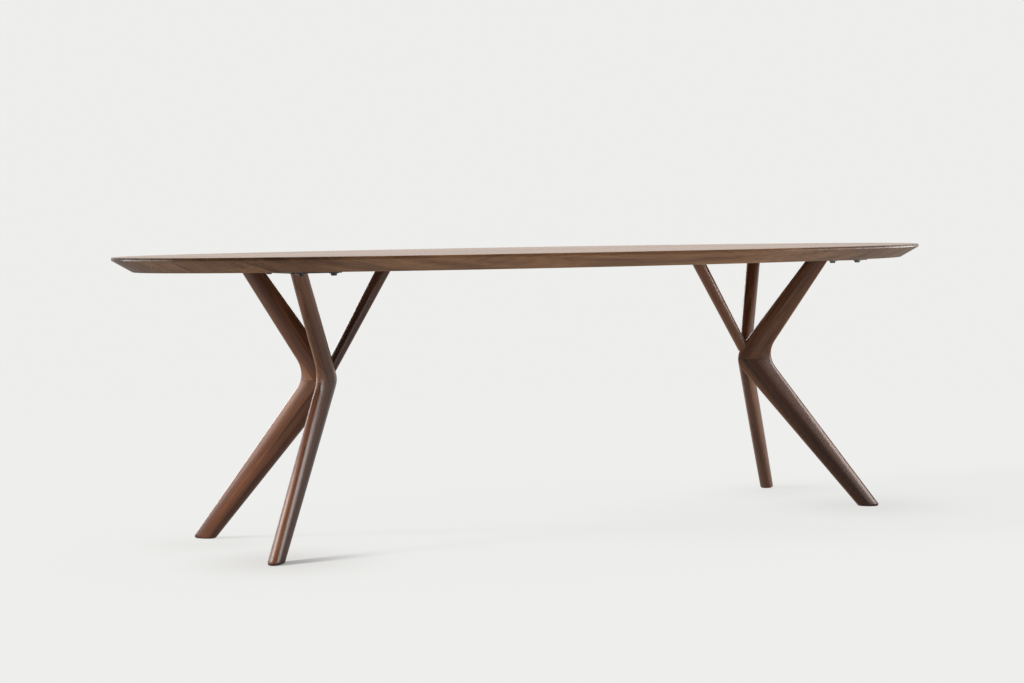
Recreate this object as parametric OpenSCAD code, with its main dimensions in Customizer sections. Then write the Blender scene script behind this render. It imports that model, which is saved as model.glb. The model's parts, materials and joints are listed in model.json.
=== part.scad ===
// Oval dining table in solid walnut. The top is glued up from lengthwise boards
// and has an undercut edge. It stands on two mirrored bases. Each base has two
// bent struts, each a lower leg and an upper arm dowelled together at the knee,
// and one slim inner arm, and carries the top through a steel plate.
// X runs along the table, Y across it, Z up, with the origin on the floor
// under the middle of the top.

/* [Table] */
// Length of the oval top
table_length = 2440; // [2200:10:2800]
// Width of the oval top
table_width = 1120; // [1000:10:1300]
// Height of the top surface above the floor
table_height = 750; // [710:5:790]

/* [Top] */
// Thickness of the top
top_thickness = 38; // [32:1:46]
// Width of the middle board
board_width = 122; // [114:1:130]
// How much wider the two outermost boards are than their neighbours
edge_board_extra = 11; // [0:1:20]
// How far the undercut bevel runs in from the edge
bevel_inset = 52; // [30:1:70]
// Height of the upright band above the bevel
nose_height = 8; // [5:0.5:12]
// Radius of the eased upper edge
edge_round = 3; // [1:0.5:4]

/* [Base layout] */
// Distance of each knot from the middle of the table
knot_x = 666.5; // [600:1:740]
// Height of the knot, where the arms and legs meet
knot_height = 429.5; // [400:1:460]
// Distance of each strut's centre line from the middle plane at its knee
knee_y = 11.5; // [10:0.5:13]
// Distance of each foot from the middle of the table, along its length
foot_x = 917; // [860:1:980]
// Distance of each foot from the middle of the table, across it
foot_y = 247; // [220:1:290]
// Distance of each outer arm's top from the middle of the table, along it
arm_top_x = 806; // [770:1:850]
// Distance of each outer arm's top from the middle of the table, across it
arm_top_y = 156.5; // [140:0.5:175]
// Distance of each inner arm's top from the middle of the table
inner_top_x = 493; // [460:1:530]

/* [Struts] */
// Leg width at the knee
leg_width_knee = 83; // [78:0.5:90]
// Leg width at the foot
leg_width_foot = 49; // [44:0.5:60]
// Arm width at the knee
arm_width_knee = 72.5; // [66:0.5:80]
// Arm width at the top
arm_width_top = 50.5; // [47:0.5:60]
// Strut thickness at the knee
knee_thickness = 40.5; // [38:0.5:46]
// Strut thickness at the foot
foot_thickness = 37.5; // [35:0.5:44]
// Strut thickness at the top of the arm
arm_thickness_top = 38.5; // [34:0.5:44]
// Softness of the hollow side of the knee
knee_blend = 58; // [30:1:70]
// Depth of the glue seam in the knee below the knot height
seam_drop = 8; // [4:0.5:14]
// Radius of the eased edge round the sole of each foot
foot_ease = 5; // [1:0.5:6]

/* [Inner arm] */
// Inner arm width at the knot
inner_width_knot = 28; // [26:0.5:32]
// Inner arm width at the top
inner_width_top = 35; // [34:0.5:42]
// Inner arm thickness at the knot
inner_thickness_knot = 31; // [27:0.5:34]
// Inner arm thickness at the top
inner_thickness_top = 35; // [30:0.5:40]

/* [Mounting plates] */
// Thickness of the steel plates
plate_thickness = 4; // [4:0.5:6]
// Length of plate beyond its corner bolts, at the front and back ends of its crossbar
plate_margin = 13; // [13:0.5:18]
// Width of plate beyond the outer corner bolts, towards the end of the table
plate_outer_margin = 28.5; // [24:0.5:34]
// Width of plate beyond the inner corner bolts, towards the middle of the table
plate_inner_margin = 18.5; // [15:0.5:24]
// Width of the plate's stem, which runs in to the inner arm
plate_tip_width = 84; // [70:1:110]
// Length of plate beyond the tip bolt
plate_tip_margin = 22.5; // [18:0.5:30]
// Radius of the plate's corners
plate_corner = 6; // [3:1:10]
// Distance of the corner bolts in front of or behind the outer arms' tops
bolt_reach_across = 121.5; // [110:0.5:130]
// Distance of the outer corner bolts beyond the outer arms' tops
bolt_reach_end = 43.5; // [40:0.5:50]
// Distance of the inner corner bolts inside the outer arms' tops
bolt_reach_inside = 43.5; // [40:0.5:50]
// Distance of the bolt in the middle of the crossbar beyond the arms' tops
bolt_reach_middle = 13.5; // [0:0.5:20]
// Distance of the tip bolt inside the inner arm's top
bolt_reach_tip = 36; // [34:0.5:46]

/* [Fasteners] */
// Diameter of the bolts that hold the top
bolt_diameter = 8; // [6:1:8]
// Length of those bolts below the head
bolt_length = 25; // [22:1:28]
// Width across flats of the bolt heads
bolt_head_flats = 13; // [12:0.5:14]
// Height of the bolt heads
bolt_head_height = 5.3; // [4:0.1:6]
// Diameter of the washers
washer_diameter = 24; // [22:0.5:26]
// Thickness of the washers
washer_thickness = 1.6; // [1:0.1:2]
// Length of the slots that let the top move across its grain
slot_length = 15; // [12:0.5:17]
// Diameter of the screws that hold the plates to the arms
screw_diameter = 6; // [5:0.5:6]
// Length of those screws
screw_length = 20; // [18:0.5:22]
// Spacing of the two screws in each outer arm
outer_screw_spacing = 24; // [18:1:26]
// Spacing of the two screws in each inner arm
inner_screw_spacing = 13; // [12.6:0.1:13.4]
// How far those screws sit back from the middle of the outer arms' tops
outer_screw_setback = 5; // [3:0.5:6]
// How far they sit back from the middle of the inner arms' tops
inner_screw_setback = 5.5; // [5:0.1:6]
// Diameter of the dowels in the knees
knee_dowel_diameter = 12; // [8:0.5:13]
// Length of the dowels in the knees
knee_dowel_length = 60; // [40:1:66]
// Distance of the first dowel of each knee from the knot, along the strut
knee_dowel_near = 20; // [17:0.5:23]
// Distance of the second dowel of each knee from the knot, along the strut
knee_dowel_far = 46; // [42:0.5:48]
// Diameter of the dowels in the knots
knot_dowel_diameter = 10; // [6:0.5:11]
// Length of the dowels between front and back strut
knot_dowel_length = 28; // [20:1:30]
// Depth of the lower knot dowel below the glue seam
knot_dowel_below = 21; // [16:0.5:24]
// Height of the upper knot dowel above the glue seam
knot_dowel_above = 17; // [14:0.5:18]
// Length of the dowels that carry the inner arms
inner_dowel_length = 50; // [40:1:54]
// Height of those dowels' middle above the knot height
inner_dowel_rise = 42; // [41:0.5:46]

/* [Levelling glides] */
// Diameter of the glide pads
glide_diameter = 24; // [18:0.5:25]
// Thickness of the glide pads
glide_thickness = 5; // [4.5:0.25:6]
// Diameter of the glide screws
glide_screw_diameter = 8; // [6:0.5:8]
// Length of the glide screws
glide_screw_length = 28; // [24:0.5:32]
// Gap between the glide and the floor when it is screwed right in
glide_recess = 1; // [0.5:0.25:2]
// Eased edge round the underside of the glide pads
glide_edge = 1; // [0.5:0.25:2]
// Depth of the socket in the glide pad that the screw's tip turns in
glide_socket = 3; // [2:0.25:3.5]
// Height of the six-sided collar that a wrench turns
collar_height = 2.6; // [2:0.1:3.5]
// How far the collar's flats stand out beyond the screw
collar_rim = 2.5; // [2:0.25:3]
// How far the glides sit back from the middle of the soles, towards the knee
glide_setback = 5; // [3:0.5:7]

/* [Fits] */
// Radial play of screws, dowels and inserts in their holes
fit_gap = 0.05; // [0.02:0.01:0.08]
// Depth left empty beyond the end of each dowel, screw and insert
end_gap = 2; // [1:0.5:3]

/* [Hidden] */
$fn = 48;

walnut = [0.36, 0.22, 0.15];
walnut_top = [0.45, 0.31, 0.22];
beech = [0.78, 0.62, 0.42];
black_steel = [0.13, 0.13, 0.14];
zinc = [0.70, 0.71, 0.72];
brass_yellow = [0.78, 0.63, 0.32];
nylon = [0.10, 0.10, 0.10];

board_count = 9;
outline_steps = 132;
strut_sides = 28;
cut_size = 4000;

// Heights of the pieces that lie on each other, from the top down
underside = table_height - top_thickness;
plate_bottom = underside - plate_thickness;
washer_bottom = plate_bottom - washer_thickness;
head_bottom = washer_bottom - bolt_head_height;
seam_height = knot_height - seam_drop;

// Plan run, direction and slope of the legs and arms, from the knee outwards
leg_run = norm([foot_x - knot_x, foot_y - knee_y]);
leg_heading = atan2(foot_y - knee_y, foot_x - knot_x);
leg_slope = leg_run / knot_height;
leg_stretch = norm([1, leg_slope]);
arm_rise = underside - knot_height;
arm_run = norm([arm_top_x - knot_x, arm_top_y - knee_y]);
arm_heading = atan2(arm_top_y - knee_y, arm_top_x - knot_x);
arm_slope = arm_run / arm_rise;
arm_stretch = norm([1, arm_slope]);
inner_slope = (knot_x - inner_top_x) / arm_rise;
inner_stretch = norm([1, inner_slope]);

// The struts have a soft ridge along each flank, sharpest at the knee
ridge_knee = 0.30;
ridge_end = 0.04;
ridge_shift = 0.12;
fullness_knee = 2.7;
fullness_end = 2.25;
crotch_blend = 24;
turn_zone = 60;

// Radial play of the bolts and screws in the steel plates and washers
bolt_play = 0.5;
screw_play = 0.3;
washer_play = 0.2;
countersink_play = 0.15;
// Wall and length of the threaded inserts
insert_wall = 2;
arm_insert_wall = 1.5;
top_insert_length = 18;
arm_insert_length = 14;
foot_insert_length = 20;
// How far each cut runs past the face that it opens
overrun = 1;

// Sizes of holes and heads that follow from what goes in them
bolt_hole = bolt_diameter + 2 * bolt_play;
screw_hole = screw_diameter + 2 * screw_play;
screw_head_diameter = 2 * screw_diameter;
screw_head_height = screw_diameter / 2;
screw_head_sink = 0.2;
top_insert_diameter = bolt_diameter + 2 * insert_wall;
arm_insert_diameter = screw_diameter + 2 * arm_insert_wall;
foot_insert_diameter = glide_screw_diameter + 2 * insert_wall;

// Sizes and heights inside the foot
collar_flats = glide_screw_diameter + 2 * collar_rim;
collar_gap = 0.3;
recess_play = 0.7;
recess_diameter = glide_diameter + 2 * recess_play;
glide_top = glide_recess + glide_thickness;
collar_bottom = glide_top + fit_gap;
recess_height = collar_bottom + collar_height + collar_gap;
glide_screw_bottom = glide_top - glide_socket + fit_gap;
glide_hole_top = max(glide_screw_bottom + glide_screw_length, recess_height + foot_insert_length)
    + end_gap;
glide_run = leg_run - glide_setback;
glide_spot = [knot_x + glide_run * cos(leg_heading), knee_y + glide_run * sin(leg_heading)];

knee_dowel_runs = [knee_dowel_near, knee_dowel_far];
knot_dowel_heights = [seam_height - knot_dowel_below, seam_height + knot_dowel_above];
inner_dowel_height = knot_height + inner_dowel_rise;

// The boards between the middle one and the edge share what is left of the width
side_board_width = ((table_width - board_width) / 2 - edge_board_extra) / ((board_count - 1) / 2);

// Bolt places in the right-hand plate, as [x, y, is slotted]
bolt_spots = concat(
    [for (reach = [bolt_reach_end, -bolt_reach_inside], side = [-1, 1])
        [arm_top_x + reach, side * (arm_top_y + bolt_reach_across), true]],
    [[arm_top_x + bolt_reach_middle, 0, false], [inner_top_x - bolt_reach_tip, 0, false]]
);

// Screw places in the right-hand plate, set back to stay inside the leaning arms
arm_top_run = (plate_bottom - knot_height) * arm_slope;
outer_screw_runs = [for (side = [-1, 1])
    arm_top_run - outer_screw_setback + side * outer_screw_spacing / 2];
inner_screw_x = knot_x - (plate_bottom - knot_height) * inner_slope + inner_screw_setback;
screw_spots = concat(
    [for (run = outer_screw_runs, side = [-1, 1])
        [knot_x + run * cos(arm_heading), side * (knee_y + run * sin(arm_heading))]],
    [for (side = [-1, 1]) [inner_screw_x + side * inner_screw_spacing / 2, 0]]
);

function mix(a, b, t) = a + (b - a) * t;
function ease(t) = let (c = min(max(t, 0), 1)) c * c * (3 - 2 * c);
function soft_max(a, b, k) = let (h = max(k - abs(a - b), 0) / k) max(a, b) + h * h * k / 4;
function signed_power(v, e) = sign(v) * pow(abs(v), e);

// One point of a strut's section, with half sizes of 1: a superellipse whose
// flanks rise to a ridge a little to the inner side of the middle
function section_point(angle, fullness, ridge) =
    let (
        across = signed_power(cos(angle), 2 / fullness),
        through = signed_power(sin(angle), 2 / fullness)
    )
    [across - ridge_shift * (1 - across * across), through * (1 - ridge * abs(across))];

// How far a rounded edge of the given radius lies inside a wall at height z
// above the floor, where the wall leans outwards by lean for each unit of height
function eased_in(z, radius, lean) =
    let (reach = norm([1, lean]))
    z < radius * (1 - lean / reach)
        ? lean * (z - radius) + radius * reach - sqrt(radius * radius - (radius - z) * (radius - z))
        : 0;

// Place of the glue line after the given number of boards, from the front edge
function glue_line(boards) =
    let (from_middle = boards - board_count / 2)
    sign(from_middle) * (board_width / 2 + (abs(from_middle) - 0.5) * side_board_width);

// Horizontal section of the right back strut at height z
function strut_ring(z) =
    let (
        down = (knot_height - z) / knot_height,
        up = (z - knot_height) / arm_rise,
        far = max(down, up),
        leg_half = mix(leg_width_knee, leg_width_foot, down) / 2 * leg_stretch,
        arm_half = mix(arm_width_knee, arm_width_top, up) / 2 * arm_stretch,
        leg_mid = (knot_height - z) * leg_slope,
        arm_mid = (z - knot_height) * arm_slope,
        outer = soft_max(leg_mid + leg_half, arm_mid + arm_half, knee_blend)
            - eased_in(z, foot_ease, -leg_slope),
        inner = soft_max(leg_mid - leg_half, arm_mid - arm_half, crotch_blend)
            + eased_in(z, foot_ease, leg_slope),
        end_thickness = down > up ? foot_thickness : arm_thickness_top,
        half_thickness = mix(knee_thickness, end_thickness, far) / 2 - eased_in(z, foot_ease, 0),
        turn = ease((z - knot_height + turn_zone) / (2 * turn_zone)),
        heading = mix(leg_heading, arm_heading, turn),
        middle = (outer + inner) / 2,
        reach = (outer - inner) / 2,
        softness = ease(far / 0.75),
        ridge = mix(ridge_knee, ridge_end, softness),
        fullness = mix(fullness_knee, fullness_end, softness)
    )
    [for (i = [0:strut_sides - 1])
        let (
            spot = section_point(360 * i / strut_sides, fullness, ridge),
            run = middle + reach * spot[0],
            off = half_thickness * spot[1]
        )
        [
            knot_x + run * cos(heading) - off * sin(heading),
            knee_y + run * sin(heading) + off * cos(heading),
            z
        ]
    ];

// Horizontal section of the right inner arm at height z
function inner_ring(z) =
    let (
        up = (z - knot_height) / arm_rise,
        reach = mix(inner_width_knot, inner_width_top, up) / 2 * inner_stretch,
        half_thickness = mix(inner_thickness_knot, inner_thickness_top, up) / 2,
        middle = knot_x - (z - knot_height) * inner_slope
    )
    [for (i = [0:strut_sides - 1])
        let (spot = section_point(360 * i / strut_sides, fullness_end, ridge_end))
        [middle - reach * spot[0], -half_thickness * spot[1], z]
    ];

// Outline of the top, drawn in by inset from the ellipse
function top_ring(z, inset) =
    let (half_length = table_length / 2, half_width = table_width / 2)
    [for (i = [0:outline_steps - 1])
        let (
            angle = 360 * i / outline_steps,
            normal = [cos(angle) / half_length, sin(angle) / half_width],
            outward = normal / norm(normal)
        )
        [
            half_length * cos(angle) - inset * outward[0],
            half_width * sin(angle) - inset * outward[1],
            z
        ]
    ];

// Points of an outline with every corner rounded
function rounded_outline(corners, radius) =
    let (count = len(corners), steps = 6)
    [for (i = [0:count - 1])
        let (
            here = corners[i],
            before = corners[(i + count - 1) % count] - here,
            after = corners[(i + 1) % count] - here,
            u = before / norm(before),
            v = after / norm(after),
            half_angle = acos(u * v) / 2,
            centre = here + (u + v) / norm(u + v) * radius / sin(half_angle),
            start = here + u * radius / tan(half_angle) - centre,
            finish = here + v * radius / tan(half_angle) - centre
        )
        for (k = [0:steps])
            let (way = mix(start, finish, k / steps))
            centre + way / norm(way) * radius
    ];

// Closed solid through a stack of rings, each anticlockwise seen from above
module loft(rings) {
    sides = len(rings[0]);
    last = len(rings) - 1;
    walls = [for (k = [0:last - 1], i = [0:sides - 1])
        let (
            next = (i + 1) % sides,
            a = k * sides + i,
            b = k * sides + next
        )
        each [[a, a + sides, b + sides], [a, b + sides, b]]
    ];
    floor_cap = [for (i = [0:sides - 1]) i];
    roof_cap = [for (i = [sides - 1:-1:0]) last * sides + i];
    polyhedron(points = [for (ring = rings) each ring], faces = concat([floor_cap, roof_cap], walls));
}

// A strut is drawn for the right back corner and mirrored to the others
module corner(side_x, side_y) {
    mirror([side_x < 0 ? 1 : 0, 0, 0])
        mirror([0, side_y < 0 ? 1 : 0, 0])
            children();
}

// Pieces that stand at every foot, knee or plate
module at_corners() {
    for (side_x = [-1, 1], side_y = [-1, 1])
        corner(side_x, side_y) children();
}

module at_both_bases() {
    for (side_x = [-1, 1])
        corner(side_x, 1) children();
}

module post(radius, low, high) {
    translate([0, 0, low]) cylinder(r = radius, h = high - low);
}

module slot(width, length, low, high) {
    straight = (length - width) / 2;
    for (side = [-1, 1])
        translate([0, side * straight, 0]) post(width / 2, low, high);
    translate([-width / 2, -straight, low]) cube([width, 2 * straight, high - low]);
}

// Keeps what lies on the back side of the middle plane
module back_half() {
    intersection() {
        children();
        translate([0, 0, -cut_size / 2]) cube(cut_size);
    }
}

module knee_dowel_posts(play, extra) {
    for (run = knee_dowel_runs)
        translate([knot_x + run * cos(leg_heading), knee_y + run * sin(leg_heading), seam_height])
            post(
                knee_dowel_diameter / 2 + play,
                -knee_dowel_length / 2 - extra,
                knee_dowel_length / 2 + extra
            );
}

module knot_dowel_bar(height, play, extra) {
    translate([knot_x, 0, height])
        rotate([90, 0, 0])
            post(
                knot_dowel_diameter / 2 + play,
                -knot_dowel_length / 2 - extra,
                knot_dowel_length / 2 + extra
            );
}

module inner_dowel_bar(play, extra) {
    middle_x = knot_x - (inner_dowel_height - knot_height) * inner_slope;
    translate([middle_x, 0, inner_dowel_height])
        rotate([0, -atan(inner_slope), 0])
            post(
                knot_dowel_diameter / 2 + play,
                -inner_dowel_length / 2 - extra,
                inner_dowel_length / 2 + extra
            );
}

module arm_insert_holes() {
    for (spot = screw_spots)
        translate([spot[0], spot[1], 0])
            post(
                arm_insert_diameter / 2 + fit_gap,
                underside - screw_head_sink - screw_length - end_gap,
                plate_bottom + overrun
            );
}

module strut_blank(heights) {
    back_half() loft([for (z = heights) strut_ring(z)]);
}

leg_heights = concat(
    [for (share = [0, 0.15, 0.6, 1.7]) share * foot_ease],
    [for (share = [0.12, 0.28, 0.46, 0.62, 0.74, 0.83, 0.89, 0.94, 0.97]) share * seam_height],
    [seam_height]
);
arm_heights = concat(
    [seam_height],
    [for (share = [0.04, 0.08, 0.13, 0.20, 0.29, 0.42, 0.60, 0.80])
        mix(seam_height, plate_bottom, share)],
    [plate_bottom]
);
inner_heights = [for (share = [0.015, 0.25, 0.5, 0.75, 1]) mix(seam_height, plate_bottom, share)];

module leg(side_x, side_y) {
    color(walnut) corner(side_x, side_y) difference() {
        strut_blank(leg_heights);
        knee_dowel_posts(fit_gap, end_gap);
        knot_dowel_bar(knot_dowel_heights[0], fit_gap, end_gap);
        translate([glide_spot[0], glide_spot[1], 0]) {
            post(recess_diameter / 2, -overrun, recess_height);
            post(foot_insert_diameter / 2 + fit_gap, recess_height - overrun, glide_hole_top);
        }
    }
}

module arm(side_x, side_y) {
    color(walnut) corner(side_x, side_y) difference() {
        strut_blank(arm_heights);
        knee_dowel_posts(fit_gap, end_gap);
        knot_dowel_bar(knot_dowel_heights[1], fit_gap, end_gap);
        inner_dowel_bar(fit_gap, end_gap);
        arm_insert_holes();
    }
}

// The inner arm's foot is cut to fit round the front and back arms
module inner_arm(side_x) {
    color(walnut) corner(side_x, 1) difference() {
        intersection() {
            loft([for (z = inner_heights) inner_ring(z)]);
            translate([knot_x - cut_size, -cut_size / 2, 0]) cube(cut_size);
        }
        strut_blank(arm_heights);
        mirror([0, 1, 0]) strut_blank(arm_heights);
        inner_dowel_bar(fit_gap, end_gap);
        arm_insert_holes();
    }
}

module top_blank() {
    nose_bottom = table_height - nose_height;
    round_steps = 2;
    loft(concat(
        [top_ring(underside, bevel_inset), top_ring(nose_bottom, 0)],
        [for (k = [0:round_steps])
            let (angle = 90 * k / round_steps)
            top_ring(
                table_height - edge_round * (1 - sin(angle)),
                edge_round * (1 - cos(angle))
            )
        ]
    ));
}

// Boards are counted from the front edge to the back edge
module top_board(number) {
    low = number == 1 ? -table_width : glue_line(number - 1);
    high = number == board_count ? table_width : glue_line(number);
    hole_radius = top_insert_diameter / 2 + fit_gap;
    color(walnut_top) difference() {
        intersection() {
            top_blank();
            translate([-cut_size / 2, low, 0]) cube([cut_size, high - low, cut_size]);
        }
        for (side_x = [-1, 1], spot = bolt_spots)
            if (spot[1] + hole_radius > low && spot[1] - hole_radius < high)
                translate([side_x * spot[0], spot[1], 0])
                    post(hole_radius, underside - overrun, washer_bottom + bolt_length + end_gap);
    }
}

// A crossbar under the outer arms, with a stem that runs in to the inner arm
module mounting_plate(side_x) {
    outer_x = arm_top_x + bolt_reach_end + plate_outer_margin;
    shoulder_x = arm_top_x - bolt_reach_inside - plate_inner_margin;
    tip_x = inner_top_x - bolt_reach_tip - plate_tip_margin;
    half_width = arm_top_y + bolt_reach_across + plate_margin;
    half_stem = plate_tip_width / 2;
    corners = [
        [tip_x, -half_stem], [shoulder_x, -half_stem], [shoulder_x, -half_width],
        [outer_x, -half_width], [outer_x, half_width], [shoulder_x, half_width],
        [shoulder_x, half_stem], [tip_x, half_stem]
    ];
    sink = screw_head_height + screw_head_sink;
    rim_radius = screw_head_diameter / 2 + screw_head_sink + countersink_play;
    color(black_steel) corner(side_x, 1) difference() {
        translate([0, 0, plate_bottom])
            linear_extrude(plate_thickness) polygon(rounded_outline(corners, plate_corner));
        for (spot = bolt_spots)
            translate([spot[0], spot[1], 0])
                if (spot[2])
                    slot(bolt_hole, slot_length, plate_bottom - overrun, underside + overrun);
                else
                    post(bolt_hole / 2, plate_bottom - overrun, underside + overrun);
        for (spot = screw_spots)
            translate([spot[0], spot[1], 0]) {
                post(screw_hole / 2, plate_bottom - overrun, underside + overrun);
                translate([0, 0, underside - sink])
                    cylinder(r1 = screw_hole / 2, r2 = rim_radius, h = sink);
            }
    }
}

module plate_bolts() {
    color(zinc) at_both_bases() for (spot = bolt_spots)
        translate([spot[0], spot[1], 0]) {
            translate([0, 0, head_bottom])
                cylinder(d = bolt_head_flats / cos(30), h = bolt_head_height, $fn = 6);
            post(bolt_diameter / 2, head_bottom + bolt_head_height / 2, washer_bottom + bolt_length);
        }
}

module plate_washers() {
    color(zinc) at_both_bases() for (spot = bolt_spots)
        translate([spot[0], spot[1], 0]) difference() {
            post(washer_diameter / 2, washer_bottom, plate_bottom);
            post(bolt_diameter / 2 + washer_play, washer_bottom - overrun, plate_bottom + overrun);
        }
}

module sleeve(outer_diameter, inner_diameter, low, high) {
    difference() {
        post(outer_diameter / 2, low, high);
        post(inner_diameter / 2, low - overrun, high + overrun);
    }
}

module top_inserts() {
    color(brass_yellow) at_both_bases() for (spot = bolt_spots)
        translate([spot[0], spot[1], 0])
            sleeve(
                top_insert_diameter, bolt_diameter + 2 * fit_gap,
                underside, underside + top_insert_length
            );
}

module arm_screws() {
    head_top = underside - screw_head_sink;
    color(zinc) at_both_bases() for (spot = screw_spots)
        translate([spot[0], spot[1], 0]) {
            translate([0, 0, head_top - screw_head_height])
                cylinder(d1 = screw_diameter, d2 = screw_head_diameter, h = screw_head_height);
            post(screw_diameter / 2, head_top - screw_length, head_top - screw_head_height);
        }
}

module arm_inserts() {
    color(brass_yellow) at_both_bases() for (spot = screw_spots)
        translate([spot[0], spot[1], 0])
            sleeve(
                arm_insert_diameter, screw_diameter + 2 * fit_gap,
                plate_bottom - arm_insert_length, plate_bottom
            );
}

module knee_dowels() {
    color(beech) at_corners() knee_dowel_posts(0, 0);
}

module knot_dowels() {
    color(beech) at_both_bases() for (height = knot_dowel_heights)
        knot_dowel_bar(height, 0, 0);
}

module inner_arm_dowels() {
    color(beech) at_both_bases() inner_dowel_bar(0, 0);
}

module foot_inserts() {
    color(brass_yellow) at_corners() translate([glide_spot[0], glide_spot[1], 0])
        sleeve(
            foot_insert_diameter, glide_screw_diameter + 2 * fit_gap,
            recess_height, recess_height + foot_insert_length
        );
}

module glide(side_x, side_y) {
    color(nylon) corner(side_x, side_y) translate([glide_spot[0], glide_spot[1], 0])
        difference() {
            union() {
                translate([0, 0, glide_recess])
                    cylinder(
                        r1 = glide_diameter / 2 - glide_edge, r2 = glide_diameter / 2,
                        h = glide_edge
                    );
                post(glide_diameter / 2, glide_recess + glide_edge, glide_top);
            }
            post(
                glide_screw_diameter / 2 + fit_gap,
                glide_top - glide_socket, glide_top + overrun
            );
        }
}

module glide_screw(side_x, side_y) {
    color(zinc) corner(side_x, side_y) translate([glide_spot[0], glide_spot[1], 0]) {
        post(
            glide_screw_diameter / 2,
            glide_screw_bottom, glide_screw_bottom + glide_screw_length
        );
        translate([0, 0, collar_bottom])
            cylinder(d = collar_flats / cos(30), h = collar_height, $fn = 6);
    }
}

top_board(1);  // top_board_1
top_board(2);  // top_board_2
top_board(3);  // top_board_3
top_board(4);  // top_board_4
top_board(5);  // top_board_5
top_board(6);  // top_board_6
top_board(7);  // top_board_7
top_board(8);  // top_board_8
top_board(9);  // top_board_9
leg(-1, -1);  // leg_left_front
leg(-1, 1);  // leg_left_back
leg(1, -1);  // leg_right_front
leg(1, 1);  // leg_right_back
arm(-1, -1);  // arm_left_front
arm(-1, 1);  // arm_left_back
arm(1, -1);  // arm_right_front
arm(1, 1);  // arm_right_back
inner_arm(-1);  // inner_arm_left
inner_arm(1);  // inner_arm_right
mounting_plate(-1);  // mounting_plate_left
mounting_plate(1);  // mounting_plate_right
plate_bolts();
plate_washers();
top_inserts();
arm_screws();
arm_inserts();
knee_dowels();
knot_dowels();
inner_arm_dowels();
foot_inserts();
glide(-1, -1);  // glide_left_front
glide(-1, 1);  // glide_left_back
glide(1, -1);  // glide_right_front
glide(1, 1);  // glide_right_back
glide_screw(-1, -1);  // glide_screw_left_front
glide_screw(-1, 1);  // glide_screw_left_back
glide_screw(1, -1);  // glide_screw_right_front
glide_screw(1, 1);  // glide_screw_right_back
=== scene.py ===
"""Oval walnut dining table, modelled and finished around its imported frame.

Lengths are in metres. X runs along the table, Y across it towards the back and
Z up, with the origin on the floor under the middle of the top.
"""

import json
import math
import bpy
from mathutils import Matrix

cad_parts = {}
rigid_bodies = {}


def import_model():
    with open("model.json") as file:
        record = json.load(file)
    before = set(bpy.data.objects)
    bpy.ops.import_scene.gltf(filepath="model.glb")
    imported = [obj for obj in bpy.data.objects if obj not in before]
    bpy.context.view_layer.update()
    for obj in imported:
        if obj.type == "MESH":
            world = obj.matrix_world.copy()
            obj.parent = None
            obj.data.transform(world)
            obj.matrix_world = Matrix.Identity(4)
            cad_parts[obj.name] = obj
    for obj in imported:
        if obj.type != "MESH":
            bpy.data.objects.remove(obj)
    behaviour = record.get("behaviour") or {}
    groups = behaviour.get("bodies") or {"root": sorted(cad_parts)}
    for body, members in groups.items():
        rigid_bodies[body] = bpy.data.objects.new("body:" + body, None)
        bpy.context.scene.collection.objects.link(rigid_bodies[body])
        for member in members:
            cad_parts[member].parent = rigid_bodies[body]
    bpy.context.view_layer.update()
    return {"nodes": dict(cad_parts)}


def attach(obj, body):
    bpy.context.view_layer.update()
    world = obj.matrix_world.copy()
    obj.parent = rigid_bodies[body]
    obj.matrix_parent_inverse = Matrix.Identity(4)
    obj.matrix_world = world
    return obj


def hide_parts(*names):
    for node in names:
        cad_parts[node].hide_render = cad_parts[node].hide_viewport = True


bl_info = {
    "name": "Oval Walnut Table",
    "version": (1, 0, 0),
    "blender": (4, 5, 0),
    "location": "View3D > Sidebar > Table",
    "description": "Models an oval dining table on two branching bases",
    "category": "Object",
}

from functools import partialmethod

import bmesh
import bpy
from bpy.props import FloatProperty, FloatVectorProperty, PointerProperty
from bpy.types import Operator, Panel, PropertyGroup
from mathutils import Matrix, Vector

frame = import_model()

MM = 0.001
OVERCUT = 1 * MM  # how far a cutter stands out of the face that it cuts
SHARPEST_SMOOTH = 32  # degrees between faces that still shade as one surface
SIDES = {"left": -1, "right": 1}
DEPTHS = {"front": -1, "back": 1}
BOARD_COUNT = 9
RIM_STEPS = 720
STRUT_SIDES = 112
INNER_SIDES = 96
BOLT_SIDES = 72
BOLT_FACE = 0.95  # diameter of a bolt head's flat face, as a share of its flats
BOLT_TIP = 0.15  # chamfer at a bolt's end, as a share of its radius
BEND = 0.75  # share of a limb over which its section changes from the knee's
SOLE_ROWS, SOLE_ZONE = 11, 12 * MM  # rows round the sole's edge, and where the others start
LEG_ROWS, ARM_ROWS, INNER_ROWS = 85, 81, 41
LEG_DRAW, ARM_DRAW = 0.85, 1.2  # powers that draw the rows together towards the knee
INNER_START = 0.015  # where an inner arm starts, as a share of the way up from the seam
# How much darker than plain walnut each limb is drawn: partly the wood's own tone, partly painted
# light and shade for how each limb is lit
LEG_TONES_AND_SHADE = {"left_front": 0.10, "left_back": 0.0, "right_front": 0.08, "right_back": -0.42}
ARM_TONES_AND_SHADE = {"left_front": -0.30, "left_back": 0.05, "right_front": -0.02, "right_back": -0.10}
INNER_TONES_AND_SHADE = {"left": 0.05, "right": -0.50}


def length(name, description, millimetres):
    return FloatProperty(
        name=name, description=description, default=millimetres * MM,
        unit="LENGTH", subtype="DISTANCE", precision=4,
    )


def share(name, description, default, soft_max=1.0):
    return FloatProperty(
        name=name, description=description, default=default, min=0.0, soft_max=soft_max
    )


def tint(name, description, default):
    return FloatVectorProperty(
        name=name, description=description, default=default,
        subtype="COLOR", size=3, min=0.0, max=1.0,
    )


def power(name, description, watts):
    return FloatProperty(name=name, description=description, default=watts, min=0.0, unit="POWER")


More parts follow.
